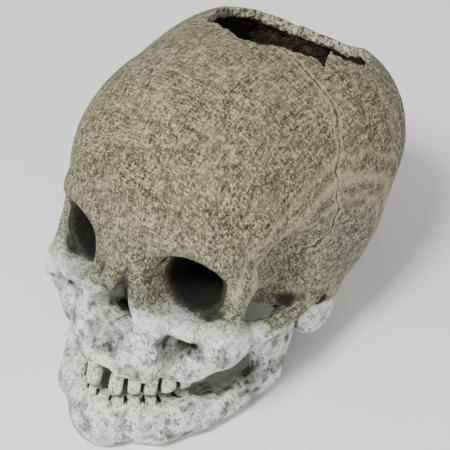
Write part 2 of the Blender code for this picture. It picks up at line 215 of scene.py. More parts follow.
def pair(centre, radii, tilt=0, turn=0):
    """The same ellipsoid on the right and on the left of the head."""
    x, y, z = centre
    return [ellipsoid((side * x, y, z), radii, tilt, side * turn) for side in (-1, 1)]


def between_knots(values, cell, part):
    """A grid's values at points, by each point's cell and how far across the cell it is."""
    total = np.zeros(len(cell))
    for i, j, k in product((0, 1), repeat=3):
        weight = np.abs(1 - i - part[:, 0]) * np.abs(1 - j - part[:, 1]) * np.abs(1 - k - part[:, 2])
        total += weight * values[cell[:, 0] + i, cell[:, 1] + j, cell[:, 2] + k]
    return total


class Field:
    """A signed distance field over a box in metres."""

    REACH = 14  # how far from a shape its distances are worked out
    FAR = 30.0  # the distance at every point before a shape is added

    def __init__(self, low, high, step):
        self.low = np.array(low)
        self.step = step * LIFE
        self.count = np.ceil((np.array(high) - self.low) / self.step).astype(int) + 1
        axes = [self.low[i] + self.step * np.arange(self.count[i]) for i in range(3)]
        self.x = axes[0].astype(np.float32)[:, None, None]
        self.y = axes[1].astype(np.float32)[None, :, None]
        self.z = axes[2].astype(np.float32)[None, None, :]
        self.head = to_head(self.x, self.y, self.z)
        self.values = np.full(self.count, self.FAR, np.float32)

    def window(self, low, high):
        """Where in the grid a life-size box of the head lies, as slices."""
        corners = np.array([to_world(*corner) for corner in product(*zip(low, high))])
        reach = int(self.REACH * LIFE / self.step)
        start = np.floor((corners.min(0) - self.low) / self.step).astype(int) - reach
        stop = np.ceil((corners.max(0) - self.low) / self.step).astype(int) + reach
        start = np.clip(start, 0, self.count)
        stop = np.clip(stop, 0, self.count)
        return tuple(slice(a, b) for a, b in zip(start, stop))

    def apply(self, shape, combine):
        """Combines a shape's distances with the field's, near the shape."""
        distance, low, high = shape
        part = self.window(low, high)
        if min(s.stop - s.start for s in part) <= 0:
            return
        x, y, z = self.head
        near = distance(x[part[0]], y[:, part[1], part[2]], z[:, part[1], part[2]]).astype(np.float32)
        self.values[part] = combine(self.values[part], near)

    def add(self, shapes, blend):
        for shape in shapes:
            self.apply(shape, lambda old, new: soft_min(old, new, blend))

    def carve(self, shapes, blend):
        for shape in shapes:
            self.apply(shape, lambda old, new: -soft_min(-old, new, blend))

    def add_values(self, values, blend):
        self.values = soft_min(self.values, values, blend).astype(np.float32)

    def carve_values(self, values, blend):
        self.values = -soft_min(-self.values, values, blend).astype(np.float32)

    def sample(self, points):
        """The field at points in metres, between grid points."""
        last_cell = self.count - 1.001
        place = np.clip((points - self.low) / self.step, 0, last_cell)
        cell = place.astype(int)
        return between_knots(self.values, cell, place - cell)

    def like(self, values):
        """Another field on the same grid."""
        other = object.__new__(Field)
        other.low, other.step, other.count, other.values = self.low, self.step, self.count, values
        return other

    def skin(self):
        """Vertices in metres and quads, facing out."""
        grid = openvdb.FloatGrid(self.FAR)
        grid.copyFromArray(self.values)
        points, quads = grid.convertToQuads(isovalue=0.0)
        return points * self.step + self.low, quads


# Noise on points


def lattice_noise(points, size, seed):
    """Smooth noise from -1 to 1 with features of a size in millimetres of the ornament."""
    place = points * 1000 / size
    place = place - place.min(0) + 0.5
    cell = place.astype(int)
    knots = np.random.default_rng(seed).uniform(-1, 1, tuple(cell.max(0) + 2))
    return between_knots(knots, cell, ease(place - cell))


# Skull


def arch_point(angle, half_width, depth):
    """x, y and the turn of a tooth on a dental arch, by its angle from the front, in degrees."""
    angle = math.radians(angle)
    turn = math.degrees(math.atan2(math.sin(angle) * depth, math.cos(angle) * half_width))
    return half_width * math.sin(angle), ARCH_BACK - depth * math.cos(angle), turn


def tooth_row(count, step):
    """The angles of the teeth of one arch."""
    return [side * step * (place + 0.5) for place in range(count) for side in (-1, 1)]


def arch_limb(half_width, depth, z, radius):
    """The bone that a row of teeth stands in."""
    knots = [(*arch_point(angle, half_width, depth)[:2], z, radius) for angle in range(-100, 101, 20)]
    return limb(*knots)


def braincase():
    """The vault, forehead, back and base of the head."""
    return [
        ellipsoid((0, 8, 48), (67, 86, 68)),
        ellipsoid((0, -34, 46), (54, 53, 57)),
        *pair((26, -38, 44), (31, 41, 44)),
        ellipsoid((0, 52, 26), (54, 44, 46)),
        ellipsoid((0, 46, -8), (40, 42, 33)),
        *pair((26, 24, 64), (41, 54, 46)),
        *pair((42, 10, 20), (24, 46, 38)),
        ellipsoid((0, -12, 49), (62, 66, 56)),
    ]


def midface():
    """What the face's bones stand on: between the sockets and down to the upper jaw."""
    return [
        ellipsoid((0, -50, 30), (50, 36, 18)),
        ellipsoid((0, -46, 4), (46, 36, 34)),
        ellipsoid((0, -58, -22), (30, 26, 24)),
        ellipsoid((0, -38, -16), (26, 30, 24)),
    ]


def face_bones():
    brows = both_limbs((50, -57, 18, 5), (43, -68, 32, 6.5), (22, -79, 36, 8), (0, -81, 34, 9.5))
    outer_rims = both_limbs((50, -57, 20, 5), (51, -60, 8, 4.6), (49, -62, -6, 6))
    inner_rims = both_limbs((49, -62, -6, 6), (37, -72, -8, 5.8), (20, -79, -4, 6), (12, -81, 22, 5))
    cheekbones = pair((48, -59, -14), (10, 14, 11))
    below_cheekbones = both_limbs((46, -60, -18, 9), (33, -64, -32, 9))
    nose_bridge = limb((0, -81, 30, 7), (0, -87, 14, 5.5), (0, -93, 4, 4.2))
    nose_sides = both_limbs((8, -82, 22, 4.5), (10, -82, 6, 5), (16, -81, -10, 6), (15, -80, -26, 7))
    upper_jaw = arch_limb(27, 43, z=-34, radius=8.5)
    eye_tooth_ridges = both_limbs((21, -78, -14, 5), (20, -79, -36, 5.5))
    nose_spine = limb((0, -80, -26, 5), (0, -91, -25, 1.8))
    bones = [*brows, *outer_rims, *inner_rims, *cheekbones, *below_cheekbones, nose_bridge]
    return [*bones, *nose_sides, upper_jaw, *eye_tooth_ridges, nose_spine]


def cheek_arches():
    front = [(51, -52, -13, 7), (58, -36, -9, 4.6)]
    return both_limbs(*front, (60, -20, -5, 4.2), (58, -4, -2, 5), (55, 8, 0, 6))


def eye_sockets():
    return both_limbs((34, -104, 13, 19), (31.5, -74, 13, 16.5), (26, -55, 12, 12), (20, -42, 12, 6.5))


def upper_roots():
    """Low ridges over the roots of the upper front teeth."""
    ridges = []
    for angle in tooth_row(4, UPPER_STEP):
        x, y, _ = arch_point(angle, 29, 46.5)
        ridges.append(limb((x, y, -38, 4.0), (0.93 * x, y + 3.5, -24, 2.2)))
    return ridges


def lower_roots():
    ridges = []
    for angle in tooth_row(5, LOWER_STEP):
        x, y, _ = arch_point(angle, *LOWER_ARCH[:2])
        ridges.append(limb((x, y - 0.5, -61, 3.5), (0.95 * x, y + 2, -72, 2)))
    return ridges


def ripple(x, y, z, size):
    """A cheap irregular wave from -1 to 1 with humps of about this many life-size millimetres."""
    k = math.tau / (2 * size)
    wave = np.sin(k * x + 2 * np.sin(0.6 * k * z)) * np.sin(k * y + 2 * np.sin(0.7 * k * x))
    return wave * np.sin(k * z + 2 * np.sin(0.5 * k * y) + 0.7)


def crown_break(x, y, z):
    """Distance from the ragged prism that the crown has lost, negative inside it."""
    back, up = y - CROWN_Y, z - CROWN_Z
    along = back * math.cos(CROWN_LEAN) - up * math.sin(CROWN_LEAN)
    height = back * math.sin(CROWN_LEAN) + up * math.cos(CROWN_LEAN)
    angle = np.arctan2(along, x)
    reach = 1 + 0.045 * np.sin(3 * angle + 0.6) + 0.03 * np.sin(7 * angle)
    reach = reach + 0.015 * np.sin(19 * angle + 1)
    for at, width, depth in BREAKS:
        away = (angle - math.radians(at) + math.pi) % math.tau - math.pi
        reach = reach + depth * np.clip(1 - np.abs(away) / math.radians(width), 0, 1)
    crumbs = 1.0 * ripple(x, y, z, 3.4) + 0.6 * ripple(y, z, x, 1.7)
    return np.maximum(np.hypot(x, along) - CROWN_R * reach + crumbs, -height)


def suture(x, y, z):
    """Distance from the wavy sheet in which the coronal suture runs."""
    waves = 2.2 * np.sin(0.16 * z + 0.05 * x) + 0.9 * np.sin(0.55 * z + 0.3 * x)
    return y + 12 - 0.10 * (z - 100) + waves


def notch_crack(x, y, z):
    """Distance from the hairline crack that runs down from the crown's notch on the left."""
    sheet = np.abs(y - 5 - 0.20 * (100 - z) - 1.1 * np.sin(0.3 * z) - 0.5 * np.sin(0.9 * z))
    return np.maximum(sheet, np.maximum(np.maximum(64 - z, 12 - x), 0))


def rear_crack(x, y, z):
    """Distance from the short crack at the left rear, along the edge of the temple bone."""
    sheet = np.abs(z - 26 - 0.32 * (y - 20) - 1.0 * np.sin(0.35 * y))
    return np.maximum(sheet, np.maximum(np.maximum(np.abs(y - 34) - 15, 20 - x), 0))


def temple_line(y, z):
    """Distance from the curved edge on the side of the head where the chewing muscle would end."""
    return np.hypot(y + 4, 0.92 * (z - 8)) - 53


def cylinder(off_axis, along, radius, low, high):
    """Distance to a cylinder in metres, by how far points are from its axis and along it."""
    outside = np.maximum(off_axis - radius, np.maximum(low - along, along - high))
    return (outside / LIFE).astype(np.float32)


def upright(field, radius, low, high):
    """A cylinder on the stone's axis."""
    return cylinder(np.hypot(field.x, field.y - STONE_Y), field.z, radius, low, high)


def lying(field, radius, front, back):
    """A cylinder on the inlet's axis."""
    return cylinder(np.hypot(field.x, field.z - INLET_Z), field.y, radius, front, back)


def field_around(box, step):
    """An empty field round a box in metres."""
    low, high = box
    return Field([v - MARGIN for v in low], [v + MARGIN for v in high], step)


def floor_cut(field):
    """Cuts away everything below the ground, which leaves flat feet."""
    field.carve_values(np.broadcast_to(field.z / LIFE, field.values.shape), blend=0.4)


def hollow_out(skull, outer):
    """Empties the braincase to its wall, and stands the sockets' back walls in it."""
    rough = WALL + 0.5 * ripple(*skull.head, 6)
    skull.carve_values(outer + rough, blend=1)
    socket_backs = pair((27, -54, 13), (24, 24, 21))
    behind_nose = ellipsoid((0, -40, -10), (18, 26, 20))
    skull.add(socket_backs, blend=2)
    skull.carve([behind_nose], blend=2)


def cast_fittings(skull):
    """The inlet's boss and the pedestal's boss, with room for the air parts."""
    skull.add_values(upright(skull, FLOOR_R, 0.0005, FLOOR_Z), blend=0.6)
    skull.carve_values(upright(skull, FLOOR_R - 0.001, FLOOR_Z, PEDESTAL_TOP), blend=0.4)
    skull.carve_values(lying(skull, BOSS_R + 0.002, INLET_Y, INLET_Y + 0.02), blend=0.4)
    skull.carve_values(lying(skull, BOSS_R - 0.001, WALL_INSIDE - 0.02, WALL_INSIDE), blend=0.4)
    skull.carve_values(lying(skull, GROMMET_HOLE_R, WALL_INSIDE - 0.01, INLET_Y + 0.01), blend=0.3)


def open_face(skull):
    """The eye sockets and the upper and lower parts of the nose opening."""
    skull.carve(eye_sockets(), blend=3)
    skull.carve([limb((0, -110, 2, 4.5), (0, -50, -4, 7))], blend=2)
    skull.carve(both_limbs((5.5, -110, -13, 6.5), (5, -50, -10, 8)), blend=2)


def open_base(skull):
    """The ear canals, and the seats of the jaw's branches and condyles."""
    skull.carve(both_limbs((76, 2, -5, 3.6), (46, 2, -5, 3)), blend=1)
    skull.carve(pair((49, -13, -32), (6.7, 17.2, 26.2), tilt=-8), blend=0.6)
    skull.carve(pair((50, -6, -11), (8.2, 7.2, 6.2)), blend=0.6)


def temple_hollows():
    """The hollows behind the eye sockets, the upper pair first."""
    upper = pair((72, -40, 8), (25, 25, 38), turn=-10)
    lower = pair((58, -34, -22), (24, 17, 26))
    return upper + lower


def carve_skull():
    """The skull's field, and a copy of the braincase's own outer surface for measuring depth."""
    mastoids = pair((51, 12, -14), (11, 14, 20), tilt=12)
    underside = ellipsoid((0, -6, -34), (20, 26, 24))
    lost_root = limb((5, -104, -45, 4.2), (3, -66, -36, 6))
    skull = field_around(CAD_BOX, SKULL_STEP)
    skull.add(braincase(), blend=14)
    skull.carve(temple_hollows()[:2], blend=8)
    outer = skull.values.copy()
    skull.add(mastoids, blend=8)
    skull.add(midface(), blend=8)
    skull.carve(temple_hollows(), blend=5)
    skull.add(face_bones(), blend=5)
    skull.add(upper_roots(), blend=3)
    skull.add(cheek_arches(), blend=5)
    skull.add_values(lying(skull, BOSS_R, WALL_INSIDE - 0.004, INLET_Y + 0.002), blend=2)
    hollow_out(skull, outer)
    cast_fittings(skull)
    open_face(skull)
    open_base(skull)
    skull.carve_values(crown_break(*skull.head), blend=0.5)
    skull.carve([underside], blend=2)
    skull.carve([lost_root], blend=1)
    floor_cut(skull)
    return skull, outer


def carve_jaw():
    body = [(48, -12, -47, 6.5), (45, -30, -55, 7.6), (38, -50, -62, 8.8), (26, -67, -68, 10)]
    chin = ellipsoid((0, -83, -74), (15, 7, 10))
    branches = pair((49, -13, -32), (5.2, 15, 25), tilt=-8)
    branch_fronts = both_limbs((48, -24, -36, 4.6), (48.5, -30, -14, 2.6))
    condyles = pair((50, -6, -11), (6.6, 5.6, 4.6))
    jaw = field_around(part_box("jaw_casting"), JAW_STEP)
    jaw.add(both_limbs(*body, (0, -77, -73, 11)), blend=5)
    jaw.add([chin], blend=6)
    jaw.add([arch_limb(29, 42, z=-66, radius=7.2)], blend=6)
    jaw.add(branches, blend=6)
    jaw.add(branch_fronts, blend=5)
    jaw.add(condyles, blend=3)
    jaw.add(lower_roots(), blend=3)
    floor_cut(jaw)
    return jaw


def tooth(x, y, z, radii, turn, lean, worn):
    """A worn crown and its root: a rounded block that narrows towards the gum, ground flat at its edge.

    worn is how far the grinding reaches in from the tip, and its sign says which way the tip points.
    """
    turn, lean = math.radians(turn), math.radians(lean)
    wide, thick, tall = radii

    def distance(px, py, pz):
        px, py, pz = px - x, py - y, pz - z
        across = px * math.cos(turn) + py * math.sin(turn)
        out = py * math.cos(turn) - px * math.sin(turn)
        tipped = across * math.cos(lean) + pz * math.sin(lean)
        pz = pz * math.cos(lean) - across * math.sin(lean)
        tip = pz * math.copysign(1, worn)
        narrow = 1 + 0.16 * np.clip(tip / tall, -1.2, 1)
        u, v, w = np.abs(tipped) / (wide * narrow), np.abs(out) / (thick * narrow), np.abs(pz) / tall
        block = ((u**3 + v**3 + w**3) ** (1 / 3) - 1) * min(radii)
        return np.maximum(block, tip - tall + abs(worn))

    reach = max(radii)
    return distance, (x - reach, y - reach, z - reach), (x + reach, y + reach, z + reach)


def carve_teeth(upper):
    """One row of teeth, each with its own small lean, height and wear."""
    draw = np.random.default_rng(UPPER_SEED if upper else LOWER_SEED).uniform
    count, step = (UPPER_TEETH, UPPER_STEP) if upper else (LOWER_TEETH, LOWER_STEP)
    half_width, depth, z = UPPER_ARCH if upper else LOWER_ARCH
    across = (-ROW_HALF_WIDTH, ROW_HALF_WIDTH)
    heights = (z - ROW_HALF_HEIGHT, z + ROW_HALF_HEIGHT)
    corners = [to_world(*corner) for corner in product(across, (ROW_FRONT, ROW_REAR), heights)]
    row = Field(np.min(corners, axis=0), np.max(corners, axis=0), TOOTH_STEP)
    for angle in tooth_row(count, step):
        lean, rise, wear, swell = draw(-8, 8), draw(-0.8, 0.8), draw(0.2, 2.2), draw(0.86, 1.04)
        if upper and angle == LOST_TOOTH:
            continue
        x, y, turn = arch_point(angle + draw(-0.7, 0.7), half_width, depth)
        molar = abs(angle) > 4 * step
        if upper:
            wide, thick, tall = UPPER_MOLAR if molar else UPPER_FRONT
            wear = -wear
        else:
            wide, thick, tall = LOWER_MOLAR if molar else LOWER_FRONT
        row.add([tooth(x, y, z + rise, (wide * swell, thick, tall), turn, lean, wear)], blend=0.15)
    row.values += 0.12 * ripple(*row.head, 1.6).astype(np.float32)
    return row


def carve_stone():
    """The air stone: a rounded cylinder of sintered grit, with a bore for its stem."""
    stone = field_around(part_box("air_stone"), STONE_STEP)
    low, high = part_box("air_stone")
    across = np.hypot(stone.x, stone.y - STONE_Y) - ((high.x - low.x) / 2 - STONE_ROUNDING)
    ends = np.abs(stone.z - (low.z + high.z) / 2) - ((high.z - low.z) / 2 - STONE_ROUNDING)
    outside = np.hypot(np.maximum(across, 0), np.maximum(ends, 0))
    body = outside + np.minimum(np.maximum(across, ends), 0) - STONE_ROUNDING
    grit = 0.22 * ripple(*stone.head, 0.9) + 0.20 * ripple(*stone.head[::-1], 1.5)
    stone.values = (body / LIFE + 0.25 + grit).astype(np.float32)
    bore_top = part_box("stone_stem")[1].z + GAP
    stone.carve_values(upright(stone, STONE_BORE_R, low.z - 0.002, bore_top), blend=0.2)
    return stone


# Meshes


def new_object(name, points, faces):
    mesh = bpy.data.meshes.new(name)
    mesh.from_pydata(points.tolist(), [], faces.tolist())
    mesh.shade_smooth()
    obj = bpy.data.objects.new(name, mesh)
    bpy.context.scene.collection.objects.link(obj)
    return obj


def read_vectors(items, name):
    vectors = np.zeros(len(items) * 3, np.float32)
    items.foreach_get(name, vectors)
    return vectors.reshape(-1, 3)


def points_of(obj):
    return read_vectors(obj.data.vertices, "co")


def normals_of(obj):
    return read_vectors(obj.data.vertex_normals, "vector")


def push_out(obj, millimetres):
    """Moves each point along its normal by life-size millimetres, but never below the ground."""
    points = points_of(obj) + normals_of(obj) * millimetres[:, None] * LIFE
    points[:, 2] = np.maximum(points[:, 2], 0)
    obj.data.vertices.foreach_set("co", points.astype(np.float32).ravel())
    obj.data.update()


def attribute(obj, name, values):
    """A number at each point, for the materials."""
    layer = obj.data.attributes.new(name, "FLOAT", "POINT")
    layer.data.foreach_set("value", np.asarray(values, np.float32))


def shelter(field, points, normals):
    """How hollow the surface is at each point, from 0 on a ridge to 1.4 in a pit."""
    total = np.zeros(len(points))
    for reach in (1.2, 2.5, 5.0):
        out = field.sample(points + normals * reach * LIFE)
        total += np.clip(1 - out / reach, 0, 1.4)
    return total / 3


def skin_of(name, field):
    return new_object(name, *field.skin())


def dented(obj, seed, strength):
    """Hand-modelled unevenness of the cast: broad dents, small lumps and pits."""
    points = points_of(obj)
    broad = 0.45 * lattice_noise(points, 11.0, seed)
    small = 0.30 * lattice_noise(points, 4.0, seed + 1)
    pits = -0.55 * ease((lattice_noise(points, 2.2, seed + 2) - 0.35) * 3)
    push_out(obj, strength * (broad + small + pits))


def groove(distance, width, depth):
    """The push outwards of a groove, or of a ridge where depth is negative."""
    return -depth * ease(1 - np.abs(distance) / width)


def paint_guides(obj, field, tone):
    """What both castings' and the teeth's materials read: the hollows, where they paint shade, and how
    pale the paint is.
    """
    attribute(obj, "hollow", shelter(field, points_of(obj), normals_of(obj)))
    attribute(obj, "pale", tone)


def inner_side(x, y, z, depth):
    """1 on the skull's inner surface and 0 on its outer one, by the depth under the braincase."""
    face = ease((-y - 38) / 6) * ease((40 - z) / 8)
    side_wall = ease((np.abs(x) - 42) / 3) * ease((-y - 20) / 6) * ease((40 - z) / 6)
    inside = ease((depth - 3.0) / 1.4) * (1 - face)
    for hollow, _, _ in temple_hollows():
        inside = inside * ease((hollow(x, y, z) - 1) / 2)
    return inside * (1 - side_wall)


def line_dents(x, y, z, outside, vault):
    """How far the suture, the cracks and the temple lines push the surface in or out."""
    temple_side = (np.abs(x) > 30) * ease((z - 10) / 10)
    dent = groove(suture(x, y, z), 1.2, 0.25) * vault
    dent += groove(notch_crack(x, y, z), 0.9, 0.5) * outside
    dent += groove(rear_crack(x, y, z), 1.1, 0.9) * outside
    dent += groove(temple_line(y, z), 4, -0.5) * outside * temple_side
    return dent


def skull_piece():
    field, outer = carve_skull()
    obj = skin_of("skull_shell", field)
    x, y, z = to_head(*points_of(obj).T.astype(float))
    depth = -field.like(outer).sample(points_of(obj))
    outside = ease((2.5 - depth) / 1.5)
    inside = inner_side(x, y, z, depth)
    vault = outside * ease((z - 22) / 8) * (y > -44)
    face = ease((14 - z) / 34) * ease((-y - 30) / 20)
    brow = ease((56 - z) / 40) * ease((-y - 30) / 30)
    temple = ease((np.abs(x) - 30) / 16) * ease((6 - temple_line(y, z)) / 30)
    temple_side = ease((np.abs(x) - 25) / 8) * ease((z - 4) / 8)
    cracks = np.minimum(notch_crack(x, y, z), rear_crack(x, y, z))
    dented(obj, seed=5, strength=0.5 + 0.5 * face + 0.6 * inside)
    push_out(obj, line_dents(x, y, z, outside, vault))
    paint_guides(obj, field, np.maximum(face, ease((-z - 2) / 14)))
    attribute(obj, "inside", inside)
    attribute(obj, "suture", np.where(vault > 0.5, suture(x, y, z), NO_LINE))
    attribute(obj, "crack", cracks + NO_LINE * (1 - outside))
    attribute(obj, "temple_line", temple_line(y, z) + NO_LINE * (1 - temple_side))
    attribute(obj, "temple", np.maximum(temple, brow) * outside)
    attribute(obj, "broken", ease(1 - np.abs(crown_break(x, y, z)) / 1.6))
    # How deep a point lies in the sockets, which the paint turns into painted shade
    attribute(obj, "socket", socket_depth(x, y, z))
    return obj


def socket_depth(x, y, z):
    """0 at the rims of the eye sockets and the nose, 1 deep inside them."""
    back = y + 74
    eyes = np.hypot(np.abs(x) - 31 + 0.36 * back, z - 13) < 21 - 0.20 * back
    nose = np.hypot(x / 12, (z + 8) / 16) < 1
    return ease((eyes | nose) * back / 16) * (y < -20)


def jaw_piece():
    field = carve_jaw()
    obj = skin_of("jaw_shell", field)
    dented(obj, seed=15, strength=1.0)
    paint_guides(obj, field, np.ones(len(obj.data.vertices)))
    return obj


def teeth_piece(name, upper):
    field = carve_teeth(upper)
    obj = skin_of(name, field)
    _, _, z = to_head(*points_of(obj).T.astype(float))
    gum = z - UPPER_ARCH[2] if upper else LOWER_ARCH[2] - z
    attribute(obj, "gum", ease((gum + 1) / 5))
    paint_guides(obj, field, np.ones(len(obj.data.vertices)))
    return obj


def stone_piece():
    field = carve_stone()
    obj = skin_of("porous_air_stone", field)
    # How sheltered the stone's pits are, which its paint darkens as painted shade
    attribute(obj, "hollow", shelter(field, points_of(obj), normals_of(obj)))
    return obj


# Materials


def srgb(*levels):
    """A linear colour from sRGB levels of 0 to 255."""
    linear = [((v / 255 + 0.055) / 1.055) ** 2.4 if v > 10 else v / 3294 for v in levels]
    return (*linear, 1)


class Paint:
    """A Principled material and short ways to add nodes to it. Places are in millimetres."""

    def __init__(self, name, colour, roughness):
        self.material = bpy.data.materials.new(name)
        self.material.use_nodes = True
        self.nodes = self.material.node_tree.nodes
        self.links = self.material.node_tree.links
        self.shader = self.nodes["Principled BSDF"]
        self.shader.inputs["Base Color"].default_value = colour
        self.shader.inputs["Roughness"].default_value = roughness
        scale = self.nodes.new("ShaderNodeVectorMath")
        scale.operation = "SCALE"
        scale.inputs["Scale"].default_value = 1000
        self.links.new(self.nodes.new("ShaderNodeTexCoord").outputs["Object"], scale.inputs[0])
        self.place = scale.outputs[0]
        self.colour = colour

    def set(self, socket, value):
        if isinstance(value, bpy.types.NodeSocket):
            self.links.new(value, socket)
        else:
            socket.default_value = value

    def math(self, operation, a, b=0.0):
        node = self.nodes.new("ShaderNodeMath")
        node.operation = operation
        self.set(node.inputs[0], a)
        self.set(node.inputs[1], b)
        return node.outputs[0]

    def times(self, a, b):
        return self.math("MULTIPLY", a, b)

    def swing(self, noise, span):
        """Noise from 0 to 1 as a number about 0, with this span."""
        return self.times(self.math("SUBTRACT", noise, 0.5), span)

    def ramp(self, value, low, high, out_low=0.0, out_high=1.0):
        """A smooth step from out_low to out_high as value goes from low to high."""
        node = self.nodes.new("ShaderNodeMapRange")
        node.interpolation_type = "SMOOTHSTEP"
        self.set(node.inputs["Value"], value)
        node.inputs["From Min"].default_value = low
        node.inputs["From Max"].default_value = high
        node.inputs["To Min"].default_value = out_low
        node.inputs["To Max"].default_value = out_high
        return node.outputs[0]

    def guide(self, name):
        """A number that the mesh holds at each point."""
        node = self.nodes.new("ShaderNodeAttribute")
        node.attribute_name = name
        return node.outputs["Fac"]

    def stretched(self, factors, turn=(0, 0, 0)):
        """Places turned and scaled, so that noise there runs along one direction."""
        node = self.nodes.new("ShaderNodeMapping")
        self.links.new(self.place, node.inputs["Vector"])
        node.inputs["Scale"].default_value = factors
        node.inputs["Rotation"].default_value = turn
        return node.outputs[0]

    def noise(self, size, detail=3.0, rough=0.55, distortion=0.0, place=None):
        """Cloudy noise from 0 to 1 with features of a size in millimetres."""
        node = self.nodes.new("ShaderNodeTexNoise")
        self.links.new(place or self.place, node.inputs["Vector"])
        node.inputs["Scale"].default_value = 1 / size
        node.inputs["Detail"].default_value = detail
        node.inputs["Roughness"].default_value = rough
        node.inputs["Distortion"].default_value = distortion
        return node.outputs["Fac"]

    def cells(self, size):
        """The distance from the nearest grain's middle, for grains of a size in millimetres."""
        node = self.nodes.new("ShaderNodeTexVoronoi")
        node.feature = "F1"
        self.links.new(self.place, node.inputs["Vector"])
        node.inputs["Scale"].default_value = 1 / size
        return node.outputs["Distance"]

    def tint(self, amount, colour):
        """Lays a colour over what is there, where amount is 1."""
        node = self.nodes.new("ShaderNodeMix")
        node.data_type = "RGBA"
        self.set(node.inputs["Factor"], amount)
        self.set(node.inputs["A"], self.colour)
        self.set(node.inputs["B"], colour)
        self.colour = node.outputs["Result"]

    def bump(self, height, distance, strength=1.0):
        """Raises the shading by a height from 0 to 1 over a distance in millimetres."""
        node = self.nodes.new("ShaderNodeBump")
        node.inputs["Strength"].default_value = strength
        node.inputs["Distance"].default_value = distance / 1000
        self.links.new(height, node.inputs["Height"])
        self.links.new(node.outputs["Normal"], self.shader.inputs["Normal"])

    def finish(self, roughness=None):
        self.set(self.shader.inputs["Base Color"], self.colour)
        if roughness is not None:
            self.set(self.shader.inputs["Roughness"], roughness)
        return self.material


KHAKI = srgb(116, 111, 80)
KHAKI_CLOUD = srgb(122, 117, 90)
KHAKI_DARK = srgb(44, 40, 24)
KHAKI_PALE = srgb(192, 186, 146)
TEMPLE_GREY = srgb(112, 115, 96)
BONE_PALE = srgb(244, 245, 240)
BONE_SHADE = srgb(104, 106, 98)
# Dark wash for speckles, scratches, lines and cracks, and also painted shade in the hollows
DARK_WASH_AND_SHADE = srgb(26, 24, 18)
# Painted shade in the eye sockets and the nose opening, olive at first, then black towards the back
SOCKET_SHADE_OLIVE = srgb(62, 62, 40)
SOCKET_SHADE_BLACK = srgb(5, 5, 3)
INSIDE_BROWN = srgb(44, 39, 24)
INSIDE_FLECK = srgb(150, 142, 108)
BROKEN_EDGE = srgb(200, 194, 166)
TOOTH = srgb(226, 224, 210)
TOOTH_STAIN = srgb(120, 114, 92)
TOOTH_NECK = srgb(170, 162, 132)
STONE_BLUE = srgb(74, 118, 176)
STONE_CLOUD = srgb(46, 82, 140)
STONE_GRIT = srgb(150, 180, 214)
# Painted shade in the stone's pores
STONE_PORE_SHADE = srgb(20, 34, 66)
LIME = srgb(170, 170, 160)
SILICONE = srgb(222, 228, 224)
ALGAE = srgb(176, 190, 158)
PLASTIC_BLACK, PLASTIC_CLOUD = srgb(30, 30, 31), srgb(44, 44, 42)
RUBBER_BLACK, RUBBER_CLOUD = srgb(22, 22, 22), srgb(36, 36, 34)
NYLON_WHITE, NYLON_CLOUD = srgb(224, 222, 212), srgb(198, 194, 176)
FLOOR_WHITE = (0.95, 0.95, 0.94, 1)
FLOOR_CLOUD = (0.91, 0.91, 0.90, 1)


def mottling(paint):
    """The fine streaky grain of a brushed and wiped glaze, from 0 to 1."""
    fine = paint.noise(0.85, detail=5, rough=0.75)
    along = paint.noise(0.95, 4, 0.7, 0.8, place=paint.stretched((1, 0.16, 0.4), (0.5, 0.2, 0.3)))
    across = paint.noise(0.85, 4, 0.7, 0.8, place=paint.stretched((0.18, 1, 0.5), (0.1, 0.6, 1.2)))
    streaks = paint.math("ADD", along, across)
    return paint.math("ADD", paint.times(fine, 0.4), paint.times(streaks, 0.3))


def strokes(paint, lean):
    """Long thin scratches in two directions, 1 in the middle of each. lean turns them all."""
    steep = paint.stretched((1, 0.14, 0.3), (0.4, 0.1, 0.9 + lean))
    level = paint.stretched((0.16, 1, 0.4), (0.2, 0.7 + lean, 0.2))
    lines = []
    for place in (steep, level):
        away = paint.math("ABSOLUTE", paint.math("SUBTRACT", paint.noise(5.0, 2, 0.5, place=place), 0.5))
        lines.append(paint.ramp(away, 0.016, 0.004))
    gaps = paint.ramp(paint.noise(4.0, 3), 0.44, 0.56)
    return paint.times(paint.math("MAXIMUM", *lines), gaps)


def crown_glaze(paint, grain, crown):
    """Khaki with dark and pale grain, in larger clouds."""
    clouds = paint.ramp(paint.noise(14, 3), 0.36, 0.60, 0.6, 1.0)
    paint.tint(paint.ramp(paint.noise(24, 2), 0.35, 0.68, 0, 0.55), KHAKI_CLOUD)
    paint.tint(paint.times(paint.guide("temple"), 0.75), TEMPLE_GREY)
    dark = paint.times(paint.ramp(grain, 0.515, 0.44), clouds)
    paint.tint(paint.times(dark, crown), KHAKI_DARK)
    paint.tint(paint.times(paint.ramp(grain, 0.505, 0.575, 0, 0.95), crown), KHAKI_PALE)


def bone_glaze(paint, grain, pale):
    """Off-white with grey blotches and dark speckles, where pale is 1."""
    ragged = paint.math("ADD", pale, paint.swing(grain, 1.6))
    paint.tint(paint.ramp(ragged, 0.25, 0.75), BONE_PALE)
    blotch = paint.ramp(paint.noise(7, 5, 0.65), 0.46, 0.66, 0, 0.7)
    paint.tint(paint.times(blotch, pale), BONE_SHADE)
    speckle = paint.ramp(grain, 0.485, 0.445)
    patches = paint.ramp(paint.noise(5, 4, 0.65), 0.38, 0.60, 0.25, 0.95)
    paint.tint(paint.times(paint.times(speckle, patches), pale), DARK_WASH_AND_SHADE)


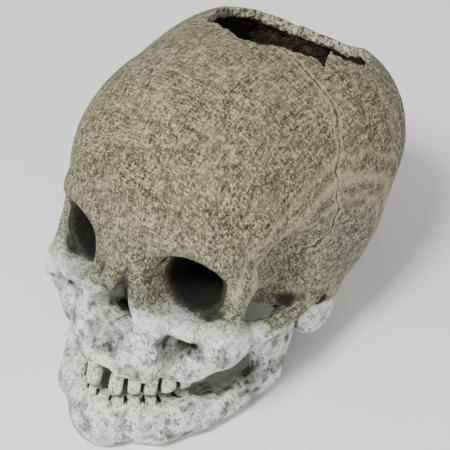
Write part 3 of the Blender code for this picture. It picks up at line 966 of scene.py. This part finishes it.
def bone_paint(name, has_lines):
    """Khaki crown, paler face, pale and dark scratches, and a dark wash with painted shade in every
    hollow.
    """
    paint = Paint(name, KHAKI, 0.85)
    grain = mottling(paint)
    scratch = strokes(paint, 0.0)
    pale = paint.guide("pale")
    if has_lines:
        crown_glaze(paint, grain, paint.math("SUBTRACT", 1.0, pale))
    bone_glaze(paint, grain, pale)
    paint.tint(paint.times(strokes(paint, 0.8), 0.5), KHAKI_PALE)
    paint.tint(paint.times(scratch, 0.6), DARK_WASH_AND_SHADE)
    if has_lines:
        paint_lines(paint)
        paint_hollows(paint, grain)
    # Painted shade: the hollows darkened by how sheltered they are, together with the dark wash that
    # collects there
    recess = paint.math("ADD", paint.guide("hollow"), paint.swing(grain, 0.9))
    deep = paint.ramp(recess, 0.20, 0.52, 0, 0.92)
    faint = paint.times(paint.ramp(recess, 0.06, 0.30, 0, 0.6), pale)
    paint.tint(paint.math("MAXIMUM", deep, faint), DARK_WASH_AND_SHADE)
    paint.bump(paint.math("SUBTRACT", grain, paint.times(scratch, 0.12)), 1.1)
    return paint.finish(paint.ramp(grain, 0.4, 0.6, 0.92, 0.74))


def paint_lines(paint):
    """The skull's suture, its cracks and the two bands of its temple line."""
    wobble = paint.swing(paint.noise(2.5, 3), 3.0)
    away = paint.math("ABSOLUTE", paint.math("ADD", paint.guide("suture"), wobble))
    interrupted = paint.ramp(paint.noise(9, 3), 0.40, 0.54, 0.25, 0.85)
    paint.tint(paint.times(paint.ramp(away, 0.65, 0.15), interrupted), DARK_WASH_AND_SHADE)
    beside = paint.math("ABSOLUTE", paint.math("SUBTRACT", away, 1.6))
    paint.tint(paint.ramp(beside, 0.9, 0.2, 0, 0.45), KHAKI_PALE)
    paint.tint(paint.ramp(paint.math("ADD", paint.guide("crack"), wobble), 0.5, 0.0, 0, 0.85), DARK_WASH_AND_SHADE)
    drift = paint.swing(paint.noise(18, 3), 14.0)
    band = paint.math("ABSOLUTE", paint.math("ADD", paint.guide("temple_line"), drift))
    paint.tint(paint.ramp(band, 4.0, 0.5, 0, 0.42), KHAKI_PALE)
    second = paint.math("ABSOLUTE", paint.math("SUBTRACT", band, 9.0))
    paint.tint(paint.ramp(second, 2.5, 0.3, 0, 0.28), KHAKI_PALE)


def paint_hollows(paint, grain):
    """Painted shade deep in the skull's sockets, its dark inside, and the crumbled edge of its crown."""
    # Painted shade: darker towards the back of the eye sockets and the nose opening
    socket = paint.times(paint.guide("socket"), paint.ramp(grain, 0.4, 0.6, 1.35, 0.7))
    paint.tint(paint.ramp(socket, 0.0, 0.45), SOCKET_SHADE_OLIVE)
    paint.tint(paint.ramp(socket, 0.35, 0.85), SOCKET_SHADE_BLACK)
    inside = paint.guide("inside")
    murk = paint.ramp(paint.noise(4, 5, 0.7), 0.35, 0.65, 0.8, 1.0)
    paint.tint(paint.times(inside, murk), INSIDE_BROWN)
    flecks = paint.ramp(paint.noise(1.6, 4, 0.7), 0.54, 0.64, 0, 0.75)
    paint.tint(paint.times(inside, flecks), INSIDE_FLECK)
    broken = paint.guide("broken")
    paint.tint(paint.times(broken, paint.ramp(paint.noise(1.4, 4, 0.7), 0.42, 0.54)), BROKEN_EDGE)
    paint.tint(paint.times(broken, paint.ramp(paint.noise(1.8, 4, 0.7), 0.45, 0.39)), DARK_WASH_AND_SHADE)


def tooth_paint():
    """Stained ivory, darker at the gum, with stains and painted shade in the hollows."""
    paint = Paint("tooth_paint", TOOTH, 0.6)
    grain = paint.noise(0.8, 4, 0.7, place=paint.stretched((1, 1, 0.35)))
    paint.tint(paint.ramp(grain, 0.54, 0.40, 0, 0.8), TOOTH_STAIN)
    paint.tint(paint.ramp(paint.noise(2.2, 5, 0.7), 0.46, 0.38, 0, 0.85), DARK_WASH_AND_SHADE)
    paint.tint(paint.ramp(paint.guide("gum"), 0.2, 1.0, 0, 0.5), TOOTH_NECK)
    # Painted shade between and round the teeth, mixed with the stains in the grain
    stain_and_shade = paint.math("ADD", paint.guide("hollow"), paint.math("SUBTRACT", grain, 0.5))
    paint.tint(paint.ramp(stain_and_shade, 0.22, 0.62, 0, 1.0), DARK_WASH_AND_SHADE)
    paint.bump(grain, 0.25, 0.6)
    return paint.finish(paint.ramp(grain, 0.3, 0.7, 0.75, 0.5))


def stone_paint():
    """Sintered blue grit with pale grains, and painted shade in its pores."""
    paint = Paint("sintered_stone", STONE_BLUE, 0.95)
    grit = paint.cells(0.7)
    paint.tint(paint.ramp(paint.noise(3.5, 3), 0.4, 0.65, 0, 0.45), STONE_CLOUD)
    paint.tint(paint.ramp(grit, 0.25, 0.1, 0, 0.6), STONE_GRIT)
    # Painted shade in the pits between the grains
    paint.tint(paint.ramp(paint.guide("hollow"), 0.25, 0.6, 0, 0.8), STONE_PORE_SHADE)
    paint.bump(grit, 0.35, 0.9)
    return paint.finish()


def moulded(name, colour, roughness, cloud_colour, grain_size=0.5, depth=0.03):
    """Moulded plastic or rubber: a fine spark grain, faint clouding and lime on it."""
    paint = Paint(name, colour, roughness)
    grain = paint.noise(grain_size, 4, 0.6)
    cloud = paint.noise(6, 3, 0.5)
    paint.tint(paint.ramp(cloud, 0.35, 0.7, 0, 0.5), cloud_colour)
    paint.tint(paint.ramp(paint.noise(1.2, 5, 0.8), 0.66, 0.74, 0, 0.35), LIME)
    paint.bump(grain, depth, 0.8)
    return paint.finish(paint.ramp(cloud, 0.3, 0.7, roughness - 0.08, roughness + 0.08))


def silicone(name):
    """Milky air line with light passing into it and a trace of algae."""
    paint = Paint(name, SILICONE, 0.3)
    paint.tint(paint.ramp(paint.noise(5, 4), 0.45, 0.7, 0, 0.45), ALGAE)
    paint.bump(paint.noise(0.8, 3), 0.04, 0.5)
    paint.shader.inputs["Transmission Weight"].default_value = 0.35
    paint.shader.inputs["IOR"].default_value = 1.41
    paint.shader.inputs["Subsurface Weight"].default_value = 0.2
    paint.shader.inputs["Subsurface Radius"].default_value = (0.002, 0.002, 0.002)
    return paint.finish(paint.ramp(paint.noise(3, 3), 0.3, 0.7, 0.24, 0.4))


def dress(obj, material):
    obj.data.materials.clear()
    obj.data.materials.append(material)


def dress_air_parts():
    """The seven nodes that keep their CAD shape."""
    black = moulded("black_plastic", PLASTIC_BLACK, 0.42, PLASTIC_CLOUD)
    nylon = moulded("white_nylon", NYLON_WHITE, 0.5, NYLON_CLOUD)
    looks = {
        "inlet_grommet": moulded("black_rubber", RUBBER_BLACK, 0.8, RUBBER_CLOUD, 0.8, 0.06),
        "inlet_connector": black,
        "stone_pedestal": black,
        "stone_stem": black,
        "inner_air_tube": silicone("clear_silicone"),
        "pedestal_screw_left": nylon,
        "pedestal_screw_right": nylon,
    }
    for node, material in looks.items():
        dress(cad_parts[node], material)


# Stage


def light(name, place, energy, size):
    """A square lamp that faces the ornament."""
    data = bpy.data.lights.new(name, "AREA")
    data.energy = energy
    data.size = size
    obj = bpy.data.objects.new(name, data)
    bpy.context.scene.collection.objects.link(obj)
    obj.location = place
    obj.rotation_euler = (AIM - Vector(place)).to_track_quat("-Z", "Y").to_euler()


def floor_material():
    paint = Paint("floor", FLOOR_WHITE, 0.9)
    paint.tint(paint.ramp(paint.noise(300, 2), 0.4, 0.7, 0, 0.2), FLOOR_CLOUD)
    return paint.finish()


def set_stage():
    bpy.ops.mesh.primitive_plane_add(size=FLOOR_SIZE)
    floor = bpy.context.object
    floor.name = "floor"
    dress(floor, floor_material())
    world = bpy.data.worlds.new("studio")
    world.use_nodes = True
    background = world.node_tree.nodes["Background"]
    background.inputs["Color"].default_value = (1, 1, 1, 1)
    background.inputs["Strength"].default_value = STUDIO_LIGHT
    bpy.context.scene.world = world
    light("key", place=(0.05, -0.60, 1.0), energy=15, size=0.26)
    light("fill", place=(0.9, -0.7, 0.5), energy=2.0, size=1.0)


def set_camera():
    data = bpy.data.cameras.new("camera")
    data.lens = LENS
    camera = bpy.data.objects.new("camera", data)
    bpy.context.scene.collection.objects.link(camera)
    level = math.cos(ELEVATION)
    back = Vector((math.sin(AZIMUTH) * level, -math.cos(AZIMUTH) * level, math.sin(ELEVATION)))
    camera.location = AIM + back * DISTANCE
    turn = back.to_track_quat("Z", "Y").to_matrix().to_4x4() @ Matrix.Rotation(ROLL, 4, "Z")
    camera.rotation_euler = turn.to_euler()
    bpy.context.scene.camera = camera


set_camera()
set_stage()
skull_paint = bone_paint("skull_paint", has_lines=True)
jaw_paint = bone_paint("jaw_paint", has_lines=False)
teeth = tooth_paint()
pieces = [
    (skull_piece(), skull_paint, "ornament", "skull_paint", "skull_casting"),
    (teeth_piece("upper_teeth", True), teeth, "ornament", "skull_paint", "skull_casting"),
    (jaw_piece(), jaw_paint, "ornament", "jaw_paint", "jaw_casting"),
    (teeth_piece("lower_teeth", False), teeth, "ornament", "jaw_paint", "jaw_casting"),
    (stone_piece(), stone_paint(), "stone", "blue_stone", "air_stone"),
]
for piece, material, body, slot, node in pieces:
    dress(piece, material)
    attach(piece, body)
    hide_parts(node)
dress_air_parts()
